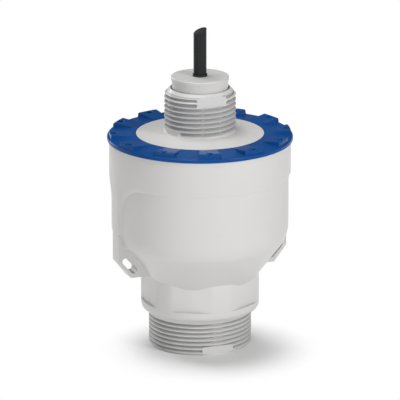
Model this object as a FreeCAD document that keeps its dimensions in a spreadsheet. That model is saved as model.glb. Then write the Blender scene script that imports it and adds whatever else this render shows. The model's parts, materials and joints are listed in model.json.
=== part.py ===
import FreeCAD, Part
import math
import os

import Sketcher

# Radar level transmitter, in millimetres and degrees.
# The axis is Z, the closed antenna face is at the bottom, the front is -Y and the two lugs point to +X and -X.
# Origin: the axis at the lowest face.

DIMENSIONS = {
    # Fits
    "slip": 0.1,  # between pieces that slide into each other
    "loose": 0.25,  # round boards and guided pieces
    # Process thread G1 1/2 at the lower end
    "process_radius": 23.9,
    "process_length": 16.4,
    "lead_in": 1.0,  # bevel at the start of the process thread
    "process_bore": 19.0,
    "face_recess": 0.8,  # the antenna face lies back from the rim
    "face_rim": 5.0,  # breadth of the rim round the antenna face
    "face_wall": 2.2,  # wall that closes the antenna face
    "process_flat_depth": 1.33,
    "process_flat_height": 4.0,
    # Neck with six wrench flats
    "neck_radius": 27.5,
    "neck_corner": 3.4,
    "wrench_width": 51.7,
    "wrench_ledge": 21.6,  # height of the ledge under the wrench flats
    # Bowl
    "bowl_start": 34.6,  # height at which the cone leaves the neck
    "bowl_slope": 53,
    "bowl_wall": 3.5,
    "bowl_round": 15.0,
    "panel_radius": 41.1,  # wall of the recessed panels front and back
    "band_radius": 42.1,  # raised band above the panels
    "band_start": 82.6,
    "rim_height": 97.0,  # top face of the cup
    "bowl_bore": 37.6,
    "mouth_bore": 38.7,
    "flange_seat": 88.0,  # ledge in the cup that carries the lid's flange
    "board_seat": 36.0,  # ledge in the cup that carries the radar board
    # Raised posts over the lugs, which frame the panels
    "post_width": 11.8,
    "post_foot": 57.0,
    "panel_corner": 14.0,
    "border_depth": 0.9,
    "border_breadth": 2.1,
    # Lugs
    "lug_thickness": 7.5,
    "lug_low": 35.6,
    "lug_low_reach": 35.8,
    "lug_tip": 44.9,
    "slot_width": 3.2,
    "slot_low_reach": 34.3,
    "slot_low": 39.2,
    "slot_high_reach": 38.4,
    "slot_high": 43.8,
    "facet_depth": 1.65,  # flat milled beside each lug into the cone
    "facet_top": 51.0,
    "facet_breadth": 28.0,
    # Lock ring
    "ring_inner": 29.7,
    "ring_outer": 43.05,
    "ring_crown": 100.9,  # height of the inner edge and of the pads
    "ring_fall": 1.9,  # fall of the ring's top towards its outer edge
    "ring_edge": 2.1,  # thickness at the inner edge
    "skirt_wall": 3.5,
    "pad_reach": 42.1,
    "pad_angle": 15,
    "pad_bevel": 0.5,
    "pin_hole_radius": 1.4,
    "pin_hole_depth": 3.5,
    "pin_circle": 40.2,
    # Lid
    "flange_height": 4.0,
    "lid_wall": 2.6,
    "lid_plate": 2.6,
    "lid_rise": 0.6,  # rise of the disc towards the tube
    "lid_seal_section": 1.0,
    # Upper thread G1 and its tube
    "conduit_radius": 16.62,
    "conduit_end": 120.1,  # height at which the end bevel starts
    "conduit_bevel": 2.65,
    "mouth_radius": 13.7,
    "conduit_flat_depth": 2.05,
    "conduit_flat_start": 116.6,
    "tube_step": 115.0,  # height at which the tube narrows to hold the bush
    "web_top": 106.0,
    "web_thickness": 3.0,
    # Entry bush
    "bush_radius": 13.0,
    "bush_rim": 13.42,
    "bush_rim_height": 1.55,
    "bush_rim_round": 0.45,
    "bush_top": 128.15,
    "spigot_radius": 9.0,
    "spigot_length": 10.0,
    "bush_cover": 2.2,
    "entry_seal_section": 0.9,
    "entry_seal_height": 110.0,
    "nut_width": 22.0,
    "nut_height": 4.0,
    # Cable and its seal
    "cable_radius": 3.0,
    "jacket_wall": 0.7,
    "screen_wall": 0.2,
    "core_radius": 0.92,
    "cable_end": 149.4,
    "cut_slope": 23,
    "jacket_start": 82.0,
    "screen_start": 79.5,
    "seal_radius": 6.0,
    "seal_start": 107.0,
    "collar_wall": 0.38,
    "collar_rise": 0.9,
    "gland_head_width": 14.0,
    "gland_head_height": 3.5,
    "ferrule_wall": 1.2,
    "ferrule_length": 6.0,
    # Antenna
    "lens_edge": 2.0,
    "lens_dome": 16.2,
    "lens_rise": 6.0,
    "horn_wall": 1.3,
    "horn_throat": 5.2,
    "chip_size": 6.0,
    "chip_height": 0.9,
    # Boards
    "board_thickness": 1.6,
    "supply_radius": 33.5,
    "pillar_height": 17.4,
    "pillar_width": 5.0,
    "pillar_circle": 21.4,
    "screw_radius": 1.05,
    "screw_depth": 5.0,
    "screw_head_radius": 2.3,
    "screw_head_height": 1.6,
    "shield_length": 18.0,
    "shield_breadth": 12.0,
    "shield_height": 3.5,
    "shield_wall": 0.4,
    "shield_offset": 5.0,
    "link_length": 12.0,
    "link_breadth": 2.5,
    "link_offset": -9.0,
    # On the supply board
    "terminal_pitch": 5.08,
    "terminal_breadth": 8.0,
    "terminal_height": 10.0,
    "terminal_depth": 6.0,
    "terminal_screw": 1.6,
    "capacitor_radius": 5.0,
    "capacitor_height": 12.5,
    "choke_radius": 6.5,
    "choke_height": 7.0,
    "arrester_radius": 2.5,
    "arrester_height": 6.0,
    "controller_size": 10.0,
    "controller_height": 1.4,
    "radio_length": 16.0,
    "radio_breadth": 12.0,
    "radio_height": 2.2,
}


class Term:
    """A length or angle with its value and its formula in the sheet."""

    def __init__(self, value, formula):
        self.value = value
        self.formula = formula

    def __add__(self, other):
        other = term(other)
        return Term(self.value + other.value, f"({self.formula} + {other.formula})")

    def __radd__(self, other):
        return term(other) + self

    def __sub__(self, other):
        other = term(other)
        return Term(self.value - other.value, f"({self.formula} - {other.formula})")

    def __rsub__(self, other):
        return term(other) - self

    def __mul__(self, other):
        other = term(other)
        return Term(self.value * other.value, f"({self.formula} * {other.formula})")

    def __rmul__(self, other):
        return term(other) * self

    def __truediv__(self, other):
        other = term(other)
        return Term(self.value / other.value, f"({self.formula} / {other.formula})")

    def __neg__(self):
        return 0 - self


def term(value):
    """The value itself where it has a formula, and otherwise the number as its own formula."""
    return value if isinstance(value, Term) else Term(float(value), repr(float(value)))


def cosine(angle):
    return Term(math.cos(math.radians(angle.value)), f"cos({angle.formula})")


def tangent(angle):
    return Term(math.tan(math.radians(angle.value)), f"tan({angle.formula})")


class Sheet:
    """The document's sheet of driving dimensions; each is read by its alias."""

    def __init__(self, document):
        self.cells = document.addObject("Spreadsheet::Sheet", "Sizes")
        self.values = dict(DIMENSIONS)
        for row, (alias, value) in enumerate(DIMENSIONS.items(), start=1):
            self.cells.set(f"A{row}", alias)
            self.cells.set(f"B{row}", str(value))
            self.cells.setAlias(f"B{row}", alias)
        document.recompute()

    def __getattr__(self, alias):
        return Term(self.values[alias], f"Sizes.{alias}")


doc = FreeCAD.newDocument("radar_level_transmitter")
size = Sheet(doc)
parts = {}


# Construction helpers


def bind(item, path, length):
    """Set one property of an object from a formula."""
    item.setExpression(path, term(length).formula)


def origin_feature(body, role):
    return next(o for o in body.Origin.OriginFeatures if o.Role == role)


def new_body(name):
    body = doc.addObject("PartDesign::Body", name)
    parts[name] = body
    return body


def new_sketch(body, name, plane, offset=0, turn=0):
    """A sketch on one of the body's own planes, moved along its normal or turned about the upright axis."""
    sketch = body.newObject("Sketcher::SketchObject", name)
    sketch.AttachmentSupport = [(origin_feature(body, plane), "")]
    sketch.MapMode = "FlatFace"
    if turn:
        turned = FreeCAD.Rotation(FreeCAD.Vector(0, 1, 0), turn)
        sketch.AttachmentOffset = FreeCAD.Placement(FreeCAD.Vector(), turned)
    if offset:
        bind(sketch, "AttachmentOffset.Base.z", offset)
    return sketch


def pin_point(sketch, curve, point, across, up):
    """Bind one point of a sketch to two formulas."""
    for kind, length in (("DistanceX", across), ("DistanceY", up)):
        constraint = Sketcher.Constraint(kind, -1, 1, curve, point, term(length).value)
        number = sketch.addConstraint(constraint)
        bind(sketch, f"Constraints[{number}]", length)


def tangent_point(corner, other):
    """Where the rounding of a corner starts on the level or upright run that joins it to another corner."""
    across, up, radius = corner
    over = term(other[0]).value - term(across).value
    rise = term(other[1]).value - term(up).value
    if abs(rise) < 1e-9:
        return (across + math.copysign(1, over) * radius, up)
    return (across, up + math.copysign(1, rise) * radius)


def draw_outline(sketch, corners):
    """A closed outline of straight runs; a corner with a third value, between a level and an upright run, is round."""
    points = []
    arcs = {}
    count = len(corners)
    for i, corner in enumerate(corners):
        if len(corner) == 2:
            points.append(corner)
            continue
        arcs[len(points)] = corner
        points.append(tangent_point(corner, corners[i - 1]))
        points.append(tangent_point(corner, corners[(i + 1) % count]))
    first = sketch.GeometryCount
    places = [FreeCAD.Vector(term(a).value, term(b).value, 0) for a, b in points]
    for i, place in enumerate(places):
        following = places[(i + 1) % len(places)]
        if i in arcs:
            across, up, radius = arcs[i]
            corner = FreeCAD.Vector(term(across).value, term(up).value, 0)
            centre = place + following - corner
            middle = centre + (corner - centre).normalize() * term(radius).value
            curve = Part.Arc(place, middle, following)
        else:
            curve = Part.LineSegment(place, following)
        sketch.addGeometry(curve, False)
    for i, point in enumerate(points):
        start = 2 if i in arcs and is_swapped(sketch, first + i, places[i]) else 1
        before = (i - 1) % len(points)
        end = 1 if before in arcs and is_swapped(sketch, first + before, places[before]) else 2
        sketch.addConstraint(Sketcher.Constraint("Coincident", first + before, end, first + i, start))
        pin_point(sketch, first + i, start, *point)
    for i, corner in arcs.items():
        number = sketch.addConstraint(Sketcher.Constraint("Radius", first + i, term(corner[2]).value))
        bind(sketch, f"Constraints[{number}]", corner[2])


def is_swapped(sketch, curve, place):
    """True where a sketch keeps an arc with its ends swapped, so that its first point is the arc's end."""
    return sketch.getPoint(curve, 1).distanceToPoint(place) > 1e-6


def draw_circle(sketch, radius, across=0, up=0):
    place = FreeCAD.Vector(term(across).value, term(up).value, 0)
    curve = sketch.addGeometry(Part.Circle(place, FreeCAD.Vector(0, 0, 1), term(radius).value), False)
    pin_point(sketch, curve, 3, across, up)
    number = sketch.addConstraint(Sketcher.Constraint("Radius", curve, term(radius).value))
    bind(sketch, f"Constraints[{number}]", radius)


def draw_hexagon(sketch, width):
    """A hexagon about the origin, given across its flats, with two flats across the sketch's first axis."""
    half = width / 2
    reach = half / cosine(Term(30.0, "30"))
    side = reach / 2
    draw_outline(
        sketch, [(half, -side), (half, side), (0, reach), (-half, side), (-half, -side), (0, -reach)]
    )


def draw_slot(sketch, start, end, width):
    """An oblong between two centres."""
    radius = width / 2
    a = FreeCAD.Vector(start[0].value, start[1].value, 0)
    b = FreeCAD.Vector(end[0].value, end[1].value, 0)
    along = (b - a).normalize()
    side = FreeCAD.Vector(-along.y, along.x, 0) * radius.value
    sketch.addGeometry(Part.Arc(a + side, a - along * radius.value, a - side), False)
    sketch.addGeometry(Part.LineSegment(a - side, b - side), False)
    sketch.addGeometry(Part.Arc(b - side, b + along * radius.value, b + side), False)
    sketch.addGeometry(Part.LineSegment(b + side, a + side), False)
    for curve, point, other, other_point in ((0, 2, 1, 1), (1, 2, 2, 1), (2, 2, 3, 1), (3, 2, 0, 1)):
        sketch.addConstraint(Sketcher.Constraint("Tangent", curve, point, other, other_point))
    pin_point(sketch, 0, 3, *start)
    pin_point(sketch, 2, 3, *end)
    number = sketch.addConstraint(Sketcher.Constraint("Radius", 0, radius.value))
    bind(sketch, f"Constraints[{number}]", radius)
    sketch.addConstraint(Sketcher.Constraint("Equal", 0, 2))


def finish_feature(body, feature, before, cuts):
    """Recompute, and make sure that the feature really adds or removes material."""
    body.Tip = feature
    doc.recompute()
    change = feature.Shape.Volume - before
    if cuts == (change > 0) or abs(change) < 1e-6:
        raise RuntimeError(f"{body.Name}.{feature.Name} changes the volume by {change:.3f}")
    return feature


def volume_of(body):
    return body.Shape.Volume if body.Tip and not body.Shape.isNull() else 0.0


def turn_profile(body, name, corners, cuts=False, angle=360, turn=0):
    """A solid or a cut turned about the upright axis from an outline of radius and height."""
    before = volume_of(body)
    sketch = new_sketch(body, name + "_profile", "XZ_Plane", turn=turn)
    draw_outline(sketch, corners)
    feature = body.newObject("PartDesign::Groove" if cuts else "PartDesign::Revolution", name)
    feature.Profile = sketch
    feature.ReferenceAxis = (sketch, ["V_Axis"])
    bind(feature, "Angle", angle)
    feature.Midplane = angle != 360
    return finish_feature(body, feature, before, cuts)


def extrude(body, name, sketch, length, cuts=False, reverse=False, both_ways=False):
    """A pad or pocket of a sketch along its normal, or against it, or half each way."""
    before = volume_of(body)
    feature = body.newObject("PartDesign::Pocket" if cuts else "PartDesign::Pad", name)
    feature.Profile = sketch
    bind(feature, "Length", length)
    feature.Reversed = reverse
    feature.SideType = "Symmetric" if both_ways else "One side"
    return finish_feature(body, feature, before, cuts)


def repeat_around(body, name, feature, count, cuts=False):
    """Copies of one feature round the upright axis."""
    before = feature.Shape.Volume
    pattern = body.newObject("PartDesign::PolarPattern", name)
    pattern.Originals = [feature]
    pattern.Axis = (origin_feature(body, "Z_Axis"), [""])
    pattern.Angle = 360
    pattern.Occurrences = count
    return finish_feature(body, pattern, before, cuts)


def edges_where(shape, test):
    """Names of the edges of which three points pass a test of radius and point."""
    names = []
    for number, edge in enumerate(shape.Edges, start=1):
        places = [edge.valueAt(p) for p in (edge.FirstParameter, edge.LastParameter)]
        places.append(edge.valueAt((edge.FirstParameter + edge.LastParameter) / 2))
        if all(test(math.hypot(p.x, p.y), p) for p in places):
            names.append(f"Edge{number}")
    return names


def circle_at(radius, height):
    """A test for the edges of one circle about the axis."""
    wanted = (term(radius).value, term(height).value)
    return lambda r, p: abs(r - wanted[0]) < 0.01 and abs(p.z - wanted[1]) < 0.01


def dress_edges(body, kind, name, test, radius):
    """Round or bevel the edges that pass a test."""
    base = body.Tip
    names = edges_where(base.Shape, test)
    if not names:
        raise RuntimeError(f"{body.Name}.{name} finds no edge")
    feature = body.newObject("PartDesign::" + kind, name)
    feature.Base = (base, names)
    bind(feature, "Radius" if kind == "Fillet" else "Size", radius)
    body.Tip = feature
    doc.recompute()
    return feature


def solid_block(name, length, breadth, height, centre, foot):
    """A box by its middle in plan and its lowest height."""
    block = doc.addObject("Part::Box", name)
    bind(block, "Length", length)
    bind(block, "Width", breadth)
    bind(block, "Height", height)
    bind(block, "Placement.Base.x", centre[0] - term(length) / 2)
    bind(block, "Placement.Base.y", centre[1] - term(breadth) / 2)
    bind(block, "Placement.Base.z", foot)
    return block


def solid_rod(name, radius, height, centre, foot):
    """An upright cylinder by its axis in plan and its lowest height."""
    rod = doc.addObject("Part::Cylinder", name)
    bind(rod, "Radius", radius)
    bind(rod, "Height", height)
    bind(rod, "Placement.Base.x", centre[0])
    bind(rod, "Placement.Base.y", centre[1])
    bind(rod, "Placement.Base.z", foot)
    return rod


def solid_hexagon(name, width, height, centre, foot):
    """An upright hexagonal bar, given across its flats."""
    bar = doc.addObject("Part::Prism", name)
    bar.Polygon = 6
    bind(bar, "Circumradius", width / 2 / cosine(Term(30.0, "30")))
    bind(bar, "Height", height)
    bind(bar, "Placement.Base.x", centre[0])
    bind(bar, "Placement.Base.y", centre[1])
    bind(bar, "Placement.Base.z", foot)
    return bar


def cut(name, base, *tools):
    """The base without its tools, one after the other."""
    for number, tool in enumerate(tools, start=1):
        last = number == len(tools)
        result = doc.addObject("Part::Cut", name if last else f"{name}_cut_{number}")
        result.Base = base
        result.Tool = tool
        base = result
    return base


def joined(name, pieces):
    result = doc.addObject("Part::MultiFuse", name)
    result.Shapes = pieces
    return result


def grouped(name, pieces):
    """Separate like solids that share one node."""
    result = doc.addObject("Part::Compound", name)
    result.Links = pieces
    return result


ON_AXIS = (term(0), term(0))

# Heights and radii that several pieces share

bowl_tangent = tangent(size.bowl_slope)
wall_in_height = size.bowl_wall / cosine(size.bowl_slope)


def cone_height(radius):
    """Height of the bowl's outer cone at a radius."""
    return size.bowl_start + (radius - size.neck_radius) * bowl_tangent


def cone_bore_height(radius):
    """Height of the bowl's inner cone at a radius."""
    return cone_height(radius) + wall_in_height


face_top = size.face_recess + size.face_wall
board_seat_radius = size.neck_radius + (size.board_seat - size.bowl_start - wall_in_height) / bowl_tangent
ring_step = size.ring_crown - size.ring_edge
skirt_outer = size.mouth_bore - size.slip
skirt_inner = skirt_outer - size.skirt_wall
lid_outer = skirt_inner - size.slip
lid_inner = lid_outer - size.lid_wall
flange_top = size.flange_seat + size.flange_height
plate_under = ring_step - size.lid_plate / 2
tube_bore = size.bush_radius + size.slip
web_under = size.web_top - size.web_thickness
conduit_top = size.conduit_end + size.conduit_bevel
spigot_end = size.web_top - size.spigot_length
gland_top = size.seal_start - size.slip
gland_head = spigot_end - size.gland_head_height
screen_radius = size.cable_radius - size.jacket_wall
core_offset = size.core_radius + size.slip / 2
radar_board_top = size.board_seat + size.board_thickness
supply_board_foot = radar_board_top + size.pillar_height
supply_board_top = supply_board_foot + size.board_thickness


# Housing cup


def housing_cup():
    body = new_body("housing_cup")
    foot = size.lead_in
    thread = size.process_radius
    top = size.process_length
    inside_bowl = size.bowl_start + 6
    turn_profile(
        body,
        "neck",
        [
            (0, 0),
            (thread - foot, 0),
            (thread, foot),
            (thread, top),
            (size.neck_radius, top),
            (size.neck_radius, inside_bowl),
            (0, inside_bowl),
        ],
    )
    dress_edges(body, "Fillet", "neck_corner", circle_at(size.neck_radius, top), size.neck_corner)
    flats = new_sketch(body, "wrench_outline", "XY_Plane", offset=size.wrench_ledge)
    draw_circle(flats, size.wrench_width / 2 / cosine(Term(30.0, "30")) + 2)
    draw_hexagon(flats, size.wrench_width)
    extrude(body, "wrench_flats", flats, inside_bowl - size.wrench_ledge + 1, cuts=True, reverse=True)
    cone_foot = size.process_bore
    turn_profile(
        body,
        "bowl",
        [
            (0, cone_height(cone_foot)),
            (cone_foot, cone_height(cone_foot)),
            (size.panel_radius, cone_height(size.panel_radius)),
            (size.panel_radius, size.band_start),
            (size.band_radius, size.band_start),
            (size.band_radius, size.rim_height),
            (0, size.rim_height),
        ],
    )
    dress_edges(
        body, "Fillet", "bowl_round", circle_at(size.panel_radius, cone_height(size.panel_radius)), size.bowl_round
    )
    cup_posts(body)
    cup_lugs(body)
    turn_profile(
        body,
        "lug_turning",
        [
            (size.band_radius, size.lug_low - 1),
            (size.band_radius + 8, size.lug_low - 1),
            (size.band_radius + 8, size.band_start + 3),
            (size.band_radius, size.band_start + 3),
        ],
        cuts=True,
    )
    dress_borders(body)
    turn_profile(
        body,
        "inside",
        [
            (0, face_top),
            (size.process_bore, face_top),
            (size.process_bore, size.board_seat),
            (board_seat_radius, size.board_seat),
            (size.bowl_bore, cone_bore_height(size.bowl_bore)),
            (size.bowl_bore, size.flange_seat),
            (size.mouth_bore, size.flange_seat),
            (size.mouth_bore, size.rim_height + 1),
            (0, size.rim_height + 1),
        ],
        cuts=True,
    )
    recess = new_sketch(body, "face_outline", "XY_Plane")
    draw_circle(recess, thread - size.face_rim)
    extrude(body, "face_recess", recess, size.face_recess, cuts=True, reverse=True)
    flat = new_sketch(body, "thread_flat_outline", "XZ_Plane", offset=thread + 1)
    flat_top = size.process_flat_height
    draw_outline(flat, [(-thread, -1), (thread, -1), (thread, flat_top), (-thread, flat_top)])
    extrude(body, "thread_flat", flat, size.process_flat_depth + 1, cuts=True)
    pilot = new_sketch(body, "pilot_outline", "XY_Plane", offset=size.board_seat)
    draw_circle(pilot, size.screw_radius, 0, size.pillar_circle)
    holes = extrude(body, "pilot_hole", pilot, size.screw_depth + 0.5, cuts=True)
    repeat_around(body, "pilot_holes", holes, 3, cuts=True)


def cup_posts(body):
    """The posts over the lugs, with the round upper corners of the panels."""
    half = size.post_width / 2
    corner = size.panel_corner
    end = half + corner + 1
    top = size.band_start
    outline = new_sketch(body, "post_outline", "YZ_Plane", offset=size.panel_radius - 6)
    draw_outline(
        outline,
        [
            (-end, top + 1),
            (-end, top),
            (-half, top, corner),
            (-half, size.post_foot),
            (half, size.post_foot),
            (half, top, corner),
            (end, top),
            (end, top + 1),
        ],
    )
    post = extrude(body, "post", outline, 9)
    repeat_around(body, "posts", post, 2)


def cup_lugs(body):
    """The flats beside the lugs, the lug plates and their slots."""
    flat = size.wrench_width / 2
    facet = new_sketch(body, "facet_outline", "XZ_Plane")
    drop = size.facet_depth / cosine(size.bowl_slope)
    top_reach = size.neck_radius + (size.facet_top - size.bowl_start - drop) / bowl_tangent
    draw_outline(
        facet,
        [
            (flat, cone_height(flat) + drop),
            (top_reach, size.facet_top),
            (top_reach + 4, size.facet_top - 3),
            (top_reach + 4, size.wrench_ledge + 1),
            (flat, size.wrench_ledge + 1),
        ],
    )
    cut_one = extrude(body, "facet", facet, size.facet_breadth, cuts=True, both_ways=True)
    repeat_around(body, "facets", cut_one, 2, cuts=True)
    plate = new_sketch(body, "lug_outline", "XZ_Plane")
    inner = size.neck_radius - 3
    outer = size.band_radius + 1
    draw_outline(
        plate,
        [
            (inner, size.lug_low),
            (size.lug_low_reach, size.lug_low),
            (outer, size.lug_tip),
            (outer, size.post_foot + 4),
            (size.panel_radius - 2, size.post_foot + 4),
        ],
    )
    lug = extrude(body, "lug", plate, size.lug_thickness, both_ways=True)
    repeat_around(body, "lugs", lug, 2)
    slot = new_sketch(body, "slot_outline", "XZ_Plane")
    draw_slot(
        slot, (size.slot_low_reach, size.slot_low), (size.slot_high_reach, size.slot_high), size.slot_width
    )
    opening = extrude(body, "slot", slot, size.lug_thickness + 4, cuts=True, both_ways=True)
    repeat_around(body, "slots", opening, 2, cuts=True)


def dress_borders(body):
    """Slope the borders of the panels, from the band down to the foot of the posts."""
    outer = size.band_radius.value
    top = size.band_start.value
    foot = size.post_foot.value
    half = size.post_width.value / 2
    corner = size.panel_corner.value

    def on_border(radius, place):
        if abs(radius - outer) > 0.02 or place.z < foot - 0.01 or place.z > top + 0.01:
            return False
        side = abs(place.y)
        if place.z > top - 0.01:
            return True
        if place.z < top - corner:
            return abs(side - half) < 0.02
        gap = math.hypot(half + corner - side, place.z - (top - corner)) - corner
        return abs(gap) < 0.05

    base = body.Tip
    border = body.newObject("PartDesign::Chamfer", "panel_borders")
    border.Base = (base, edges_where(base.Shape, on_border))
    border.ChamferType = "Two distances"
    bind(border, "Size", size.border_depth)
    bind(border, "Size2", size.border_breadth)
    body.Tip = border
    doc.recompute()


# Lid and lock ring


def housing_lid():
    body = new_body("housing_lid")
    collar = size.ring_crown + size.lid_rise
    nut_room = size.nut_width / 2 / cosine(Term(30.0, "30")) + 1
    turn_profile(
        body,
        "disc_and_tube",
        [
            (lid_inner, size.flange_seat),
            (size.mouth_bore - size.slip, size.flange_seat),
            (size.mouth_bore - size.slip, flange_top),
            (lid_outer, flange_top),
            (lid_outer, ring_step),
            (size.ring_inner - size.slip, ring_step),
            (size.ring_inner - size.slip, size.ring_crown),
            (size.conduit_radius, collar),
            (size.conduit_radius, size.conduit_end),
            (size.conduit_radius - size.conduit_bevel, conduit_top),
            (size.mouth_radius, conduit_top),
            (size.mouth_radius, size.tube_step),
            (tube_bore, size.tube_step),
            (tube_bore, size.web_top),
            (size.spigot_radius + size.slip, size.web_top),
            (size.spigot_radius + size.slip, web_under),
            (nut_room, web_under),
            (nut_room, plate_under),
            (lid_inner, plate_under),
        ],
    )
    middle = size.flange_seat + size.flange_height / 2
    section = size.lid_seal_section
    turn_profile(
        body,
        "seal_groove",
        [
            (size.mouth_bore - 2 * section, middle - section - size.slip),
            (size.mouth_bore + 1, middle - section - size.slip),
            (size.mouth_bore + 1, middle + section + size.slip),
            (size.mouth_bore - 2 * section, middle + section + size.slip),
        ],
        cuts=True,
    )
    flat = new_sketch(body, "thread_flat_outline", "XZ_Plane", offset=size.conduit_radius + 1)
    reach = size.conduit_radius
    draw_outline(
        flat,
        [
            (-reach, size.conduit_flat_start),
            (reach, size.conduit_flat_start),
            (reach, conduit_top + 1),
            (-reach, conduit_top + 1),
        ],
    )
    extrude(body, "thread_flat", flat, size.conduit_flat_depth + 1, cuts=True)


def lock_ring():
    body = new_body("lock_ring")
    outer_top = size.ring_crown - size.ring_fall
    turn_profile(
        body,
        "ring",
        [
            (size.ring_inner, ring_step),
            (size.ring_inner, size.ring_crown),
            (size.ring_outer, outer_top),
            (size.ring_outer, size.rim_height),
            (skirt_outer, size.rim_height),
            (skirt_outer, flange_top + size.slip),
            (skirt_inner, flange_top + size.slip),
            (skirt_inner, ring_step),
        ],
    )
    dress_edges(body, "Fillet", "outer_round", circle_at(size.ring_outer, outer_top), size.pad_bevel)
    pad = turn_profile(
        body,
        "pad",
        [
            (size.ring_inner, size.ring_crown - 0.5),
            (size.ring_inner, size.ring_crown),
            (size.pad_reach - size.pad_bevel, size.ring_crown),
            (size.pad_reach, size.ring_crown - size.pad_bevel),
            (size.pad_reach, outer_top - 0.5),
        ],
        angle=size.pad_angle,
        turn=size.pad_angle.value,
    )
    repeat_around(body, "pads", pad, 12)
    hole = new_sketch(body, "pin_hole_outline", "XY_Plane", offset=size.ring_crown)
    turned = math.radians(size.pad_angle.value)
    draw_circle(hole, size.pin_hole_radius, size.pin_circle * math.cos(turned), size.pin_circle * math.sin(turned))
    pocket = extrude(body, "pin_hole", hole, size.pin_hole_depth, cuts=True)
    repeat_around(body, "pin_holes", pocket, 12, cuts=True)


# Seals


def ring_seal(name, ring_radius, section, height):
    seal = doc.addObject("Part::Torus", name)
    bind(seal, "Radius1", ring_radius)
    bind(seal, "Radius2", section)
    bind(seal, "Placement.Base.z", height)
    parts[name] = seal


def seals():
    section = size.lid_seal_section
    middle = size.flange_seat + size.flange_height / 2
    ring_seal("lid_seal", size.mouth_bore - section, section - size.slip / 2, middle)
    section = size.entry_seal_section
    ring_seal("entry_seal", tube_bore - section, section - size.slip / 2, size.entry_seal_height)


# Entry bush, nut and gland


def entry_bush():
    body = new_body("entry_bush")
    rim_foot = size.bush_top - size.bush_rim_height
    section = size.entry_seal_section
    groove = tube_bore - 2 * section
    groove_low = size.entry_seal_height - section - size.slip
    groove_high = size.entry_seal_height + section + size.slip
    collar_hole = size.cable_radius + size.collar_wall + size.slip
    turn_profile(
        body,
        "bush",
        [
            (size.seal_radius + size.slip, spigot_end),
            (size.spigot_radius, spigot_end),
            (size.spigot_radius, size.web_top),
            (size.bush_radius, size.web_top),
            (size.bush_radius, groove_low),
            (groove, groove_low),
            (groove, groove_high),
            (size.bush_radius, groove_high),
            (size.bush_radius, rim_foot),
            (size.bush_rim, rim_foot),
            (size.bush_rim, size.bush_top),
            (collar_hole, size.bush_top),
            (collar_hole, size.bush_top - size.bush_cover),
            (size.seal_radius + size.slip, size.bush_top - size.bush_cover),
        ],
    )
    dress_edges(body, "Fillet", "rim_round", circle_at(size.bush_rim, size.bush_top), size.bush_rim_round)


def entry_nut():
    foot = web_under - size.nut_height
    blank = solid_hexagon("entry_nut_blank", size.nut_width, size.nut_height, ON_AXIS, foot)
    bore = solid_rod("entry_nut_bore", size.spigot_radius + size.slip, size.nut_height + 2, ON_AXIS, foot - 1)
    parts["entry_nut"] = cut("entry_nut", blank, bore)


def cable_seal():
    body = new_body("cable_seal")
    bore = size.cable_radius + size.slip / 2
    shoulder = size.bush_top - size.bush_cover - size.slip
    top = size.bush_top + size.collar_rise
    collar = size.cable_radius + size.collar_wall
    turn_profile(
        body,
        "sleeve",
        [
            (bore, size.seal_start),
            (size.seal_radius, size.seal_start),
            (size.seal_radius, shoulder),
            (collar, shoulder),
            (collar, top),
            (bore, top),
        ],
    )


def gland_screw():
    bore = size.cable_radius + size.slip
    shank = solid_rod("gland_shank", size.seal_radius, gland_top - gland_head, ON_AXIS, gland_head)
    head = solid_hexagon("gland_head", size.gland_head_width, size.gland_head_height, ON_AXIS, gland_head)
    hole = solid_rod("gland_bore", bore, gland_top - gland_head + 2, ON_AXIS, gland_head - 1)
    parts["gland_screw"] = cut("gland_screw", joined("gland_blank", [shank, head]), hole)


def strain_ferrule():
    foot = gland_head - size.slip - size.ferrule_length
    sleeve = solid_rod(
        "ferrule_sleeve", size.cable_radius + size.ferrule_wall, size.ferrule_length, ON_AXIS, foot
    )
    bore = solid_rod("ferrule_bore", size.cable_radius + size.slip / 2, size.ferrule_length + 2, ON_AXIS, foot - 1)
    parts["strain_ferrule"] = cut("strain_ferrule", sleeve, bore)


# Cable


def cut_knife(name):
    """A block above the oblique plane that ends the cable."""
    knife = doc.addObject("Part::Box", name)
    side = size.cable_radius * 8
    slope = size.cut_slope
    knife.Placement.Rotation = FreeCAD.Rotation(FreeCAD.Vector(0, -1, 0), slope.value)
    bind(knife, "Length", side)
    bind(knife, "Width", side)
    bind(knife, "Height", side)
    bind(knife, "Placement.Base.x", -side / 2 * cosine(slope))
    bind(knife, "Placement.Base.y", -side / 2)
    bind(knife, "Placement.Base.z", size.cable_end - side / 2 * cosine(slope) * tangent(slope))
    bind(knife, "Placement.Rotation.Angle", slope)
    return knife


def cable_tube(name, outer, inner, foot):
    """One layer of the cable from a height up to the oblique end."""
    length = size.cable_end + size.cable_radius - foot
    layer = solid_rod(name + "_outside", outer, length, ON_AXIS, foot)
    hollow = solid_rod(name + "_inside", inner, length + 2, ON_AXIS, foot - 1)
    parts[name] = cut(name, layer, hollow, cut_knife(name + "_knife"))


def cable():
    cable_tube("cable_jacket", size.cable_radius, screen_radius, size.jacket_start)
    cable_tube("cable_screen", screen_radius - size.slip / 4, screen_radius - size.screen_wall, size.screen_start)
    core("core_brown", -1)
    core("core_blue", 1)


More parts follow.
